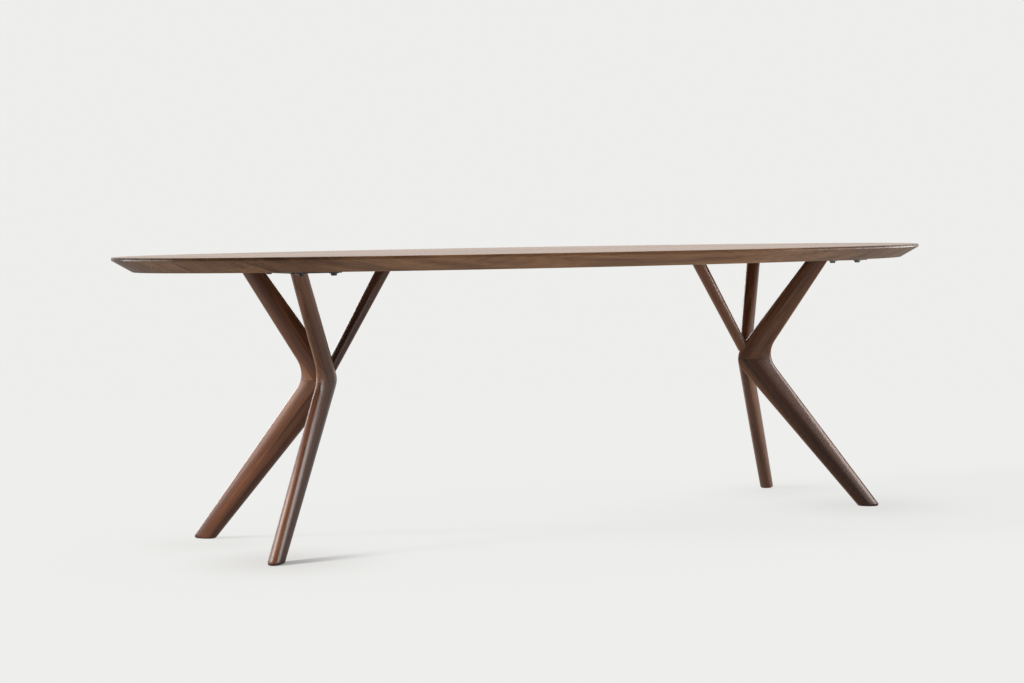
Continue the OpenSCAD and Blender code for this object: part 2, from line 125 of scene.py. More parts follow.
class TopSizes(PropertyGroup):
    table_length: length("Length", "Length of the oval top", 2440)
    table_width: length("Width", "Width of the oval top", 1120)
    table_height: length("Height", "Height of the top surface above the floor", 750)
    thickness: length("Thickness", "Thickness of the top", 38)
    middle_board: length("Middle board", "Width of the middle board", 122)
    edge_board_extra: length("Edge board extra", "Extra width of the outermost boards", 11)
    bevel_inset: length("Bevel", "How far the undercut bevel runs in", 52)
    nose_height: length("Nose", "Height of the upright band above the bevel", 8)
    edge_round: length("Edge radius", "Radius of the eased upper edge", 3)
    arris_round: length("Arris radius", "Radius of the two lower edges", 2)


class StrutSizes(PropertyGroup):
    knot_x: length("Knot distance", "Each knot from the middle, lengthwise", 666.5)
    knot_height: length("Knot height", "Height where arms and legs meet", 429.5)
    knee_y: length("Knee offset", "Centre line from the middle plane", 11.5)
    foot_x: length("Foot along", "Each foot from the middle, lengthwise", 917)
    foot_y: length("Foot across", "Each foot from the middle, across", 247)
    arm_top_x: length("Arm top along", "Each arm's top, lengthwise", 806)
    arm_top_y: length("Arm top across", "Each arm's top, across", 156.5)
    inner_top_x: length("Inner arm top", "Each inner arm's top, lengthwise", 493)
    leg_width_knee: length("Leg width at knee", "Leg width at the knee", 83)
    leg_width_foot: length("Leg width at foot", "Leg width at the foot", 49)
    arm_width_knee: length("Arm width at knee", "Arm width at the knee", 72.5)
    arm_width_top: length("Arm width at top", "Arm width at the top", 50.5)
    knee_thickness: length("Knee thickness", "Strut thickness at the knee", 40.5)
    foot_thickness: length("Foot thickness", "Strut thickness at the foot", 37.5)
    arm_thickness_top: length("Arm thickness", "Strut thickness at the arm's top", 38.5)
    knee_blend: length("Knee blend", "Softness of the knee's hollow side", 58)
    crotch_blend: length("Crotch blend", "Softness of the knee's inner corner", 24)
    turn_zone: length("Turn zone", "Half height over which the strut turns", 60)
    seam_drop: length("Seam depth", "Depth of the glue seam below the knot", 8)
    foot_ease: length("Sole edge", "Radius of the edge round each sole", 5)
    inner_width_knot: length("Inner width at knot", "Inner arm width at the knot", 28)
    inner_width_top: length("Inner width at top", "Inner arm width at the top", 35)
    inner_thickness_knot: length("Inner depth at knot", "Inner arm depth, knot", 31)
    inner_thickness_top: length("Inner depth at top", "Inner arm depth, top", 35)
    ridge_knee: share("Ridge at knee", "Rise of the flanks' ridge at the knee", 0.30)
    ridge_end: share("Ridge at ends", "Rise of the flanks' ridge at the ends", 0.04)
    ridge_shift: share("Ridge shift", "How far the ridge lies to the inner side", 0.12)
    fullness_knee: share("Fullness at knee", "Squareness of the knee", 2.7, 4.0)
    fullness_end: share("Fullness at ends", "Squareness of the ends", 2.25, 4.0)


class HardwareSizes(PropertyGroup):
    plate_thickness: length("Plate", "Thickness of the steel plates", 4)
    bolt_reach_across: length("Corner bolts across", "Corner bolts from the arm's top", 121.5)
    bolt_reach_end: length("Corner bolts out", "Outer corner bolts from the arm's top", 43.5)
    bolt_reach_inside: length("Corner bolts in", "Inner corner bolts from the arm's top", 43.5)
    bolt_reach_middle: length("Middle bolt", "Middle bolt from the arms' tops", 13.5)
    bolt_reach_tip: length("Tip bolt", "Tip bolt from the inner arm's top", 36)
    bolt_diameter: length("Bolt", "Diameter of the bolts", 8)
    bolt_length: length("Bolt length", "Length of the bolts below the head", 25)
    bolt_head_flats: length("Bolt head", "Width across flats of the bolt heads", 13)
    bolt_head_height: length("Head height", "Height of the bolt heads", 5.3)
    washer_thickness: length("Washer thickness", "Thickness of the washers", 1.6)
    screw_length: length("Screw length", "Length of the screws in the arms", 20)
    screw_sink: length("Screw sink", "Depth of their heads in the plates", 0.2)
    screw_diameter: length("Screw", "Diameter of the screws in the arms", 6)
    outer_screw_spacing: length("Outer screws", "Spacing in each outer arm", 24)
    inner_screw_spacing: length("Inner screws", "Spacing in each inner arm", 13)
    outer_screw_setback: length("Outer setback", "Setback of the outer screws", 5)
    inner_screw_setback: length("Inner setback", "Setback of the inner screws", 5.5)
    knee_dowel: length("Knee dowel", "Diameter of the dowels in the knees", 12)
    knee_dowel_length: length("Knee dowel length", "Length of those dowels", 60)
    knee_dowel_near: length("First dowel", "First knee dowel's distance", 20)
    knee_dowel_far: length("Second dowel", "Second knee dowel's distance", 46)
    knot_dowel: length("Knot dowel", "Diameter of the dowels in the knots", 10)
    knot_dowel_length: length("Knot dowel length", "Length of those dowels", 28)
    knot_dowel_below: length("Lower knot dowel", "Depth below the seam", 21)
    knot_dowel_above: length("Upper knot dowel", "Height above the seam", 17)
    inner_dowel_length: length("Inner dowel", "Length of the inner arm dowels", 50)
    inner_dowel_rise: length("Inner dowel rise", "Height above the knot", 42)
    insert_wall: length("Insert wall", "Wall of the large threaded inserts", 2)
    arm_insert_wall: length("Arm insert wall", "Wall of the small inserts", 1.5)
    glide_diameter: length("Glide", "Diameter of the glide pads", 24)
    glide_thickness: length("Glide thickness", "Thickness of the glide pads", 5)
    glide_play: length("Glide play", "Radial play of the pads in the feet", 0.7)
    glide_recess: length("Glide recess", "Gap between glide and floor", 1)
    glide_screw: length("Glide screw", "Diameter of the glide screws", 8)
    glide_screw_length: length("Glide screw length", "Length of those screws", 28)
    glide_socket: length("Glide socket", "Depth of the socket in the pad", 3)
    glide_setback: length("Glide setback", "Glides' distance behind the soles", 5)
    collar_height: length("Collar", "Height of the glide screws' collar", 2.6)
    collar_play: length("Collar play", "Gap above that collar", 0.3)
    foot_insert_length: length("Foot insert", "Length of the foot inserts", 20)
    fit_gap: length("Fit gap", "Radial play of pieces in their holes", 0.05)
    end_gap: length("End gap", "Depth left beyond dowels and screws", 2)


class TopFinish(PropertyGroup):
    light: tint("Light wood", "Light streaks of the top", (0.410, 0.215, 0.108))
    middle: tint("Middle wood", "Main tone of the top", (0.265, 0.130, 0.062))
    dark: tint("Dark wood", "Dark streaks of the top", (0.118, 0.054, 0.027))
    roughness: share("Roughness", "Roughness of the satin lacquer", 0.25)
    edge_roughness: share("Edge roughness", "Roughness of the lacquer on the edge", 0.42)
    gloss: share("Gloss", "Strength of the lacquer's reflections", 0.2)
    figure: share("Figure", "Strength of the wood's streaks", 1.0, 2.0)


class BaseFinish(PropertyGroup):
    light: tint("Light wood", "Light streaks of the bases", (0.370, 0.160, 0.078))
    middle: tint("Middle wood", "Main tone of the bases", (0.175, 0.066, 0.031))
    dark: tint("Dark wood", "Dark streaks of the bases", (0.066, 0.025, 0.014))
    roughness: share("Roughness", "Roughness of the satin lacquer", 0.30)
    edge_roughness: share("Sole roughness", "Roughness of the lacquer at the soles", 0.30)
    gloss: share("Gloss", "Strength of the lacquer's reflections", 0.4)
    figure: share("Figure", "Strength of the wood's streaks", 1.2, 2.0)


class StudioSettings(PropertyGroup):
    backdrop: tint("Backdrop", "Colour of floor and backdrop", (0.855, 0.855, 0.839))
    ambient: share("Ambient", "Strength of the soft light from all round", 0.03)
    bounce: share("Bounce", "How much light the floor throws back up", 0.42)
    floor_gloss: share("Floor gloss", "Brightness of the floor in reflections", 0.65)
    front_gloss: share("Dark front", "Brightness of reflections of the camera's side", 0.13)
    shadow: share("Shadow", "How strongly the floor shows shadows near the feet", 0.62)
    left_lamp: power("Left lamp", "High lamp at the left end", 52.0)
    low_left_lamp: power("Low left lamp", "Low lamp at the left", 16.0)
    back_lamp: power("Back lamp", "Low lamp at the back", 76.0)
    right_lamp: power("Right lamp", "Low lamp at the right", 20.0)
    right_card: power("Right card", "Card that the right base reflects", 52.0)
    front_card: power("Front card", "Card that the bases' fronts reflect", 19.0)
    end_lamp: power("End lamp", "Strip that the top's right edge reflects", 11.0)
    left_end_lamp: power("Left end lamp", "Strip that the top's left end reflects", 14.0)
    front_fill: power("Front fill", "Soft fill at the front left", 12.0)
    top_lamp: power("Top lamp", "Lamp over the table top", 94.0)
    edge_lamp: power("Edge lamp", "Low lamp for the top's bevel", 21.0)


class TableSettings(PropertyGroup):
    top: PointerProperty(type=TopSizes)
    struts: PointerProperty(type=StrutSizes)
    hardware: PointerProperty(type=HardwareSizes)
    top_finish: PointerProperty(type=TopFinish)
    base_finish: PointerProperty(type=BaseFinish)
    studio: PointerProperty(type=StudioSettings)


def settings():
    return bpy.context.scene.walnut_table


# Shader maths


class Value:
    """A number socket whose arithmetic adds Math nodes to its shader."""

    def __init__(self, shader, socket):
        self.shader, self.socket = shader, socket

    def math(self, operation, *others):
        return self.shader.math(operation, self, *others)

    def __rsub__(self, other):
        return self.shader.math("SUBTRACT", other, self)

    __add__ = __radd__ = partialmethod(math, "ADD")
    __mul__ = __rmul__ = partialmethod(math, "MULTIPLY")
    __sub__ = partialmethod(math, "SUBTRACT")
    __truediv__ = partialmethod(math, "DIVIDE")
    fraction = partialmethod(math, "FRACT")
    size = partialmethod(math, "ABSOLUTE")
    above = partialmethod(math, "MAXIMUM")

    def rise(self, low, high):
        """0 below low, 1 above high and smooth in between."""
        node = self.shader.node(
            "ShaderNodeMapRange",
            {"interpolation_type": "SMOOTHSTEP"},
            {"Value": self, "From Min": low, "From Max": high},
        )
        return Value(self.shader, node.outputs["Result"])


class Shader:
    """A node tree, with one method for each way of adding to it."""

    def __init__(self, owner):
        owner.use_nodes = True
        self.tree = owner.node_tree
        self.tree.nodes.clear()

    def node(self, kind, options=None, inputs=None):
        """Adds a node, sets its options first, and then its sockets' values or links."""
        made = self.tree.nodes.new(kind)
        for name, value in (options or {}).items():
            if name == "stops":
                ramp = made.color_ramp.elements
                while len(ramp) < len(value):
                    ramp.new(0.5)
                for stop, (place, colour) in zip(ramp, value):
                    stop.position = place
                    stop.color = (*colour, 1.0)
            else:
                setattr(made, name, value)
        for name, value in (inputs or {}).items():
            found = [s for s in made.inputs if name in (s.name, s.identifier) and s.enabled]
            target = made.inputs[name] if isinstance(name, int) else found[0]
            if isinstance(value, Value):
                value = value.socket
            if isinstance(value, bpy.types.NodeSocket):
                self.tree.links.new(value, target)
            elif target.type == "RGBA" and len(value) == 3:
                target.default_value = (*value, 1.0)
            else:
                target.default_value = value
        return made

    def math(self, operation, *values):
        made = self.node("ShaderNodeMath", {"operation": operation}, dict(enumerate(values)))
        return Value(self, made.outputs[0])

    def vector(self, operation, *values):
        made = self.node("ShaderNodeVectorMath", {"operation": operation}, dict(enumerate(values)))
        return made.outputs["Vector"]

    def distance(self, *ends):
        """The distance between two points, or the length of one vector."""
        operation = {"operation": "DISTANCE" if len(ends) > 1 else "LENGTH"}
        made = self.node("ShaderNodeVectorMath", operation, dict(enumerate(ends)))
        return Value(self, made.outputs["Value"])

    def stretch(self, vector, scale):
        return self.vector("MULTIPLY", vector, scale)

    def noise(self, vector, scale=1.0, detail=2.0, roughness=0.5):
        inputs = {"Vector": vector, "Scale": scale, "Detail": detail, "Roughness": roughness}
        return Value(self, self.node("ShaderNodeTexNoise", None, inputs).outputs[0])

    def noise_vector(self, vector, detail):
        inputs = {"Vector": vector, "Scale": 1.0, "Detail": detail}
        return self.node("ShaderNodeTexNoise", None, inputs).outputs[1]

    def part(self, vector, axis):
        made = self.node("ShaderNodeSeparateXYZ", None, {"Vector": vector})
        return Value(self, made.outputs[axis])

    def ramp(self, factor, stops):
        made = self.node("ShaderNodeValToRGB", {"stops": stops}, {"Fac": factor})
        return made.outputs["Color"]

    def blend(self, factor, first, second):
        made = self.node(
            "ShaderNodeMix",
            {"data_type": "RGBA", "blend_type": "MIX"},
            {"Factor_Float": factor, "A_Color": first, "B_Color": second},
        )
        return next(s for s in made.outputs if s.identifier == "Result_Color")

    def bump(self, height, distance, strength):
        inputs = {"Height": height, "Distance": distance, "Strength": strength}
        return self.node("ShaderNodeBump", None, inputs).outputs["Normal"]

    def place(self, kind="Object"):
        return self.node("ShaderNodeTexCoord").outputs[kind]

    def surface(self, **inputs):
        names = {key.replace("_", " "): value for key, value in inputs.items()}
        made = self.node("ShaderNodeBsdfPrincipled", None, names)
        self.finish(made.outputs["BSDF"])

    def light(self, kind, **inputs):
        """A diffuse, emission or background shader."""
        return self.node(kind, None, inputs).outputs[0]

    def mixed(self, factor, first, second=None):
        """Two shaders by a factor; a missing second one is black."""
        inputs = {0: factor, 1: first, 2: second}
        if second is None:
            del inputs[2]
        return self.node("ShaderNodeMixShader", None, inputs).outputs[0]

    def ray(self, name):
        """1 for one kind of ray."""
        return Value(self, self.node("ShaderNodeLightPath").outputs[name])

    def finish(self, socket, kind="ShaderNodeOutputMaterial"):
        self.node(kind, None, {"Surface": socket})


def new_material(name):
    material = bpy.data.materials.new(name)
    return material, Shader(material)


# Finishes


# Cells in a metre along, across and through the grain
WAVES = (1.7, 6, 6)
CLOUDS = (1.3, 9, 9)
STREAKS = (0.8, 38, 38)
FIBRES = (6, 520, 520)
PORES = (26, 1100, 1100)
RINGS = 210.0  # annual rings in a metre
RING_WANDER = 30 * MM
RING_RIPPLE = 3.2  # how many rings a streak shifts them by
STREAK, CLOUD, LATEWOOD, FIBRE = 1.5, 1.1, 0.16, 0.35  # how strongly each one tints the wood
LINE_FADE = (0.2 * MM, 0.9 * MM)  # half widths of the glue line, full and faded out
CREASE_SHADE_FADE = (1.0 * MM, 2.8 * MM)  # the same of the painted shade line along the legs' crease
CREASE_SHADE_TOP = (0.18, 0.32)  # heights between which the legs' painted crease shade fades in


def darkened(colour, part):
    return tuple(part * c for c in colour)


def painted_crease_shade(s, here, form):
    """1 on a painted shade line along the crease down the middle of each leg's inner flank, below
    the knee.
    """
    sizes = form.s
    lengthwise = s.part(here, 0).size() - sizes.knot_x
    across = s.part(here, 1).size() - sizes.knee_y
    height = s.part(here, 2)
    ahead, aside = math.cos(form.leg_heading), math.sin(form.leg_heading)
    run = lengthwise * ahead + across * aside
    off = across * ahead - lengthwise * aside
    down = (sizes.knot_height - height) / sizes.knot_height
    width = sizes.leg_width_knee + (sizes.leg_width_foot - sizes.leg_width_knee) * down
    shift = sizes.ridge_shift * math.hypot(1, form.leg_slope) / 2
    middle = (sizes.knot_height - height) * form.leg_slope - shift * width
    line = 1.0 - (run - middle).size().rise(*CREASE_SHADE_FADE)
    return line * height.rise(*CREASE_SHADE_TOP) * (1.0 - off.rise(-4 * MM, 0.0))


def walnut(name, finish, axis, at, pith, tone=0.0, seam=None, form=None):
    """Lacquered walnut whose grain runs along axis.

    The rings lie round a pith that passes the point at by pith, a distance along,
    across and through the piece. Tone makes the piece darker than its neighbours; on the
    limbs it is partly painted light and shade. A glue line shows at the height seam, and a
    painted shade line along the leg's crease where the leg's form is given.
    """
    top = settings().top
    material, s = new_material(name)
    turn = Vector(axis).normalized().rotation_difference(Vector((1, 0, 0)))
    here = s.place()
    shift = Vector(pith) - turn.to_matrix() @ Vector(at)
    mapping = {"Vector": here, "Rotation": turn.to_euler(), "Location": shift}
    grain = s.node("ShaderNodeMapping", None, mapping).outputs["Vector"]
    waves = s.noise_vector(s.stretch(grain, WAVES), 2.0)
    wander = s.vector("SUBTRACT", waves, (0.5, 0.5, 0.5))
    warped = s.vector("MULTIPLY_ADD", wander, (0.0, RING_WANDER, RING_WANDER), grain)
    radius = s.distance(s.stretch(warped, (0, 1, 1)))
    streak = s.noise(s.stretch(warped, STREAKS), detail=4.0, roughness=0.6)
    cloud = s.noise(s.stretch(grain, CLOUDS))
    fibre = s.noise(s.stretch(grain, FIBRES), roughness=0.6)
    pore = s.noise(s.stretch(grain, PORES), detail=1.0).rise(0.58, 0.74)
    year = (radius * RINGS + streak * RING_RIPPLE).fraction()
    late = year.rise(0.2, 0.85) * (1.0 - year.rise(0.9, 1.0))
    shade = (
        0.5
        + tone
        + (streak - 0.5) * STREAK * finish.figure
        + (cloud - 0.5) * CLOUD * finish.figure
        + (late - 0.4) * LATEWOOD
        + (fibre - 0.5) * FIBRE
    )
    colour = s.ramp(shade, [(0.08, finish.light), (0.5, finish.middle), (0.92, finish.dark)])
    colour = s.blend(pore * 0.45, colour, darkened(finish.dark, 0.35))
    if seam is not None:
        line = 1.0 - (s.part(here, 2) - seam).size().rise(*LINE_FADE)
        colour = s.blend(line * 0.6, colour, darkened(finish.dark, 0.3))
    # Painted shade: a dark line along the crease down each leg's inner flank, where shade falls
    if form is not None:
        colour = s.blend(painted_crease_shade(s, here, form) * 0.75, colour, darkened(finish.dark, 0.3))
    nose = top.table_height - top.nose_height
    edge = 1.0 - s.part(here, 2).rise(nose - MM, nose)
    matt = finish.edge_roughness - finish.roughness
    s.surface(
        Base_Color=colour,
        Roughness=finish.roughness + edge * matt + (cloud - 0.5) * 0.10 + pore * 0.03,
        Specular_IOR_Level=finish.gloss,
        Normal=s.bump(fibre * 0.5 - pore, 0.1 * MM, 0.03),
    )
    return material


def powder_coat():
    material, s = new_material("black powder coat")
    here = s.place()
    peel, dust = s.noise(here, 900.0), s.noise(here, 35.0, 3.0)
    s.surface(
        Base_Color=s.ramp(dust, [(0.3, (0.012, 0.012, 0.013)), (0.8, (0.030, 0.030, 0.031))]),
        Roughness=0.42 + (dust - 0.5) * 0.2,
        Normal=s.bump(peel, 0.2 * MM, 0.35),
    )
    return material


# Light tone, dark tone and roughness
METALS = {
    "zinc plate": ((0.66, 0.67, 0.69), (0.44, 0.45, 0.47), 0.34),
    "black zinc plate": ((0.10, 0.10, 0.10), (0.04, 0.04, 0.04), 0.30),
    "turned brass": ((0.78, 0.60, 0.30), (0.58, 0.42, 0.18), 0.30),
}


def turned_metal(name):
    """Plated or bare turned metal with fine tool marks round the upright axis."""
    material, s = new_material(name)
    light, dark, roughness = METALS[name]
    here = s.place()
    marks = s.noise(s.stretch(here, (120, 120, 5200)))
    cloud = s.noise(here, 60.0, 3.0)
    s.surface(
        Base_Color=s.ramp(cloud * 0.6 + marks * 0.4, [(0.3, dark), (0.7, light)]),
        Metallic=1.0,
        Roughness=roughness + (marks - 0.5) * 0.2,
        Normal=s.bump(marks, 0.05 * MM, 0.4),
    )
    return material


def beech():
    material, s = new_material("bare beech")
    flecks = s.noise(s.stretch(s.place(), (260, 260, 14)), detail=3.0)
    s.surface(
        Base_Color=s.ramp(flecks, [(0.3, (0.50, 0.32, 0.18)), (0.7, (0.66, 0.47, 0.29))]),
        Roughness=0.62 + (flecks - 0.5) * 0.2,
        Normal=s.bump(flecks, 0.1 * MM, 0.4),
    )
    return material


def moulded_nylon():
    material, s = new_material("moulded nylon")
    grit = s.noise(s.place(), 1400.0)
    s.surface(
        Base_Color=s.ramp(grit, [(0.3, (0.020, 0.020, 0.021)), (0.8, (0.040, 0.040, 0.042))]),
        Roughness=0.55 + (grit - 0.5) * 0.25,
        Normal=s.bump(grit, 0.08 * MM, 0.5),
    )
    return material


def dress(node, material):
    """Gives a frame node that stays in view its finish."""
    mesh = frame["nodes"][node].data
    mesh.materials.clear()
    mesh.materials.append(material)


# Geometry


def mix(a, b, t):
    return a + (b - a) * t


def spaced(count):
    """Evenly spaced shares from 0 to 1."""
    return [k / (count - 1) for k in range(count)]


def smooth(t):
    t = min(max(t, 0.0), 1.0)
    return t * t * (3 - 2 * t)


def soft_max(a, b, softness):
    h = max(softness - abs(a - b), 0.0) / softness
    return max(a, b) + h * h * softness / 4


def signed_power(v, exponent):
    return math.copysign(abs(v) ** exponent, v)


def section_points(sides, fullness, ridge, shift):
    """A superellipse of half size 1 whose flanks rise to a ridge."""
    points = []
    for i in range(sides):
        angle = math.tau * i / sides
        a = signed_power(math.cos(angle), 2 / fullness)
        b = signed_power(math.sin(angle), 2 / fullness)
        points.append((a - shift * (1 - a * a), b * (1 - ridge * abs(a))))
    return points


def eased_in(z, radius, lean):
    """How far a rounded sole edge lies inside a wall that leans outwards."""
    reach = math.hypot(1, lean)
    if z >= radius * (1 - lean / reach):
        return 0.0
    return lean * (z - radius) + radius * reach - math.sqrt(radius**2 - (radius - z) ** 2)


class StrutForm:
    """The shape of a bent strut of the right back corner, and of the right inner arm."""

    def __init__(self, t):
        s = self.s = t.struts
        self.seam = s.knot_height - s.seam_drop
        self.underside = t.top.table_height - t.top.thickness
        self.arm_end = self.underside - t.hardware.plate_thickness
        self.rise = self.underside - s.knot_height
        leg = Vector((s.foot_x - s.knot_x, s.foot_y - s.knee_y))
        arm = Vector((s.arm_top_x - s.knot_x, s.arm_top_y - s.knee_y))
        self.leg_run = leg.length
        self.leg_heading = math.atan2(leg.y, leg.x)
        self.leg_slope = leg.length / s.knot_height
        self.arm_heading = math.atan2(arm.y, arm.x)
        self.arm_slope = arm.length / self.rise
        self.inner_slope = (s.knot_x - s.inner_top_x) / self.rise
        self.leg_axis = Vector((*leg, -s.knot_height))
        self.arm_axis = Vector((*arm, self.rise))
        self.inner_axis = Vector((-self.inner_slope, 0, 1))

    def along(self, run, heading, z=0.0, off=0.0):
        """The point run along a heading from the knee, and off to its left."""
        ahead, aside = math.cos(heading), math.sin(heading)
        x = self.s.knot_x + run * ahead - off * aside
        return Vector((x, self.s.knee_y + run * aside + off * ahead, z))

    def ring(self, z):
        """A bent strut's outline at a height."""
        s = self.s
        down = (s.knot_height - z) / s.knot_height
        up = (z - s.knot_height) / self.rise
        far = max(down, up)
        leg_half = mix(s.leg_width_knee, s.leg_width_foot, down) / 2 * math.hypot(1, self.leg_slope)
        arm_half = mix(s.arm_width_knee, s.arm_width_top, up) / 2 * math.hypot(1, self.arm_slope)
        leg_mid = (s.knot_height - z) * self.leg_slope
        arm_mid = (z - s.knot_height) * self.arm_slope
        outer = soft_max(leg_mid + leg_half, arm_mid + arm_half, s.knee_blend)
        inner = soft_max(leg_mid - leg_half, arm_mid - arm_half, s.crotch_blend)
        outer -= eased_in(z, s.foot_ease, -self.leg_slope)
        inner += eased_in(z, s.foot_ease, self.leg_slope)
        end = s.foot_thickness if down > up else s.arm_thickness_top
        half = mix(s.knee_thickness, end, far) / 2 - eased_in(z, s.foot_ease, 0)
        turn = smooth((z - s.knot_height + s.turn_zone) / (2 * s.turn_zone))
        heading = mix(self.leg_heading, self.arm_heading, turn)
        softness = smooth(far / BEND)
        ridge = mix(s.ridge_knee, s.ridge_end, softness)
        fullness = mix(s.fullness_knee, s.fullness_end, softness)
        middle, reach = (outer + inner) / 2, (outer - inner) / 2
        section = section_points(STRUT_SIDES, fullness, ridge, s.ridge_shift)
        return [self.along(middle + reach * a, heading, z, half * b) for a, b in section]

    def inner_ring(self, z):
        """The inner arm's outline at a height."""
        s = self.s
        up = (z - s.knot_height) / self.rise
        reach = mix(s.inner_width_knot, s.inner_width_top, up) / 2 * math.hypot(1, self.inner_slope)
        half = mix(s.inner_thickness_knot, s.inner_thickness_top, up) / 2
        middle = s.knot_x - (z - s.knot_height) * self.inner_slope
        section = section_points(INNER_SIDES, s.fullness_end, s.ridge_end, s.ridge_shift)
        return [(middle - reach * a, -half * b, z) for a, b in section]


def loft(rings):
    """A closed mesh through a stack of rings, each anticlockwise seen from above."""
    bm = bmesh.new()
    rows = [[bm.verts.new(p) for p in ring] for ring in rings]
    for low, high in zip(rows, rows[1:]):
        for i in range(len(low)):
            j = (i + 1) % len(low)
            bm.faces.new((low[i], low[j], high[j], high[i]))
    bm.faces.new(rows[0][::-1])
    bm.faces.new(rows[-1])
    return bm


def trim(bm, point, normal):
    """Cuts away what lies on the normal's side of a plane, and closes the cut."""
    geometry = bm.verts[:] + bm.edges[:] + bm.faces[:]
    cut = bmesh.ops.bisect_plane(
        bm, geom=geometry, plane_co=point, plane_no=normal, clear_outer=True, dist=1e-7
    )
    edges = [g for g in cut["geom_cut"] if isinstance(g, bmesh.types.BMEdge)]
    if edges:
        bmesh.ops.edgenet_fill(bm, edges=edges)
    bmesh.ops.recalc_face_normals(bm, faces=bm.faces[:])


def post(radius, low, high, sides=40, at=(0, 0), turn=None):
    """A round bar between two heights, as a mesh for cutting holes."""
    angles = [math.tau * i / sides for i in range(sides)]
    rings = [[(radius * math.cos(a), radius * math.sin(a), z) for a in angles] for z in (low, high)]
    bm = loft(rings)
    place = turn or Matrix.Translation((at[0], at[1], 0))
    bmesh.ops.transform(bm, matrix=place, verts=bm.verts[:])
    return bm


def to_mesh(bm, name):
    mesh = bpy.data.meshes.new(name)
    bm.to_mesh(mesh)
    bm.free()
    return mesh


def carved(mesh, cutters, name):
    """The mesh with every cutter taken out of it by an exact boolean."""
    body = bpy.data.objects.new(name, mesh)
    bpy.context.scene.collection.objects.link(body)
    tools = bpy.data.collections.new(name + " cutters")
    bpy.context.scene.collection.children.link(tools)
    for bm in cutters:
        tools.objects.link(bpy.data.objects.new("cutter", to_mesh(bm, "cutter")))
    step = body.modifiers.new("carve", "BOOLEAN")
    step.operation, step.solver = "DIFFERENCE", "EXACT"
    step.operand_type, step.collection = "COLLECTION", tools
    seen = bpy.context.evaluated_depsgraph_get()
    result = bpy.data.meshes.new_from_object(body.evaluated_get(seen))
    for used in (*tools.objects, body):
        bpy.data.objects.remove(used)
    bpy.data.collections.remove(tools)
    return result


def largest_island(mesh):
    """Drops loose crumbs that a cut left behind."""
    bm = bmesh.new()
    bm.from_mesh(mesh)
    left, islands = set(bm.verts), []
    while left:
        edge = {left.pop()}
        islands.append([])
        while edge:
            islands[-1] += edge
            edge = {link.other_vert(vert) for vert in edge for link in vert.link_edges} & left
            left -= edge
    for island in sorted(islands, key=len)[:-1]:
        bmesh.ops.delete(bm, geom=island, context="VERTS")
    bm.to_mesh(mesh)
    bm.free()


def mirrored(mesh, side_x, side_y, name):
    copy = mesh.copy()
    copy.name = name
    copy.transform(Matrix.Diagonal((side_x, side_y, 1, 1)))
    if side_x * side_y < 0:
        copy.flip_normals()
    return copy


def add_piece(name, mesh, body, nodes, material):
    """Adds a finished piece that rides on a body and stands for frame nodes."""
    mesh.shade_smooth()
    mesh.set_sharp_from_angle(angle=math.radians(SHARPEST_SMOOTH))
    mesh.materials.clear()
    mesh.materials.append(material)
    piece = bpy.data.objects.new(name, mesh)
    bpy.context.scene.collection.objects.link(piece)
    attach(piece, body)
    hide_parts(*nodes)


def add_corner_pieces(kind, mesh, form, axis, at, pith, pith_step, tones_and_shade, crease_shaded=False):
    """Adds a limb in all four corners, mirrored from the right back one."""
    for side, side_x in SIDES.items():
        for depth, side_y in DEPTHS.items():
            corner, number = f"{side}_{depth}", side_x + 2 * side_y
            name = f"walnut_{kind}_{corner}"
            flip = Vector((side_x, side_y, 1))
            finish = walnut(
                f"{kind} {side} {depth} walnut",
                settings().base_finish,
                flip * axis,
                flip * at,
                Vector(pith) + number * Vector(pith_step),
                # Partly the wood's own tone, partly painted light and shade
                tones_and_shade[corner],
                form.seam,
                form if crease_shaded else None,
            )
            copy = mirrored(mesh, side_x, side_y, name)
            add_piece(name, copy, "table", [f"{kind}_{corner}"], finish)


def rounded_line(points, radii, steps=6):
    """A line through points (a, b) with its inner corners rounded."""
    line = [points[0]]
    for before, here, after, radius in zip(points, points[1:], points[2:], radii):
        here = Vector(here)
        u = (Vector(before) - here).normalized()
        v = (Vector(after) - here).normalized()
        half = u.angle(v) / 2
        centre = here + (u + v).normalized() * radius / math.sin(half)
        start = here + u * radius / math.tan(half) - centre
        finish = here + v * radius / math.tan(half) - centre
        for k in range(steps + 1):
            way = start.slerp(finish, k / steps)
            line.append(tuple(centre + way.normalized() * radius))
    line.append(points[-1])
    return line


def bolt_spots(t):
    """Places of the bolts in the right-hand plate."""
    s, h = t.struts, t.hardware
    across = s.arm_top_y + h.bolt_reach_across
    return [
        *(
            (s.arm_top_x + reach, side * across)
            for reach in (h.bolt_reach_end, -h.bolt_reach_inside)
            for side in (-1, 1)
        ),
        (s.arm_top_x + h.bolt_reach_middle, 0.0),
        (s.inner_top_x - h.bolt_reach_tip, 0.0),
    ]


# Pieces


def rim_rings(top):
    """Outlines of the oval: out along its underside and bevel, up, and in over its top."""
    underside = top.table_height - top.thickness
    half = Vector((top.table_length / 2, top.table_width / 2))
    corners = (
        (2 * top.bevel_inset, underside),
        (top.bevel_inset, underside),
        (0.0, top.table_height - top.nose_height),
        (0.0, top.table_height),
        (2 * top.edge_round, top.table_height),
    )
    profile = rounded_line(corners, (top.arris_round, top.arris_round, top.edge_round))
    rings = [[] for _ in profile]
    for i in range(RIM_STEPS):
        c, s = math.cos(math.tau * i / RIM_STEPS), math.sin(math.tau * i / RIM_STEPS)
        out = Vector((c / half.x, s / half.y)).normalized()
        for ring, (inset, z) in zip(rings, profile):
            ring.append((half.x * c - inset * out.x, half.y * s - inset * out.y, z))
    return rings


def board_edges(top, number):
    """Where a board's front and back edges lie."""
    side_count = (BOARD_COUNT - 1) / 2
    side_board = ((top.table_width - top.middle_board) / 2 - top.edge_board_extra) / side_count
    return [
        math.copysign(top.middle_board / 2 + (abs(off) - 0.5) * side_board, off)
        for off in (number - 1 - BOARD_COUNT / 2, number - BOARD_COUNT / 2)
    ]


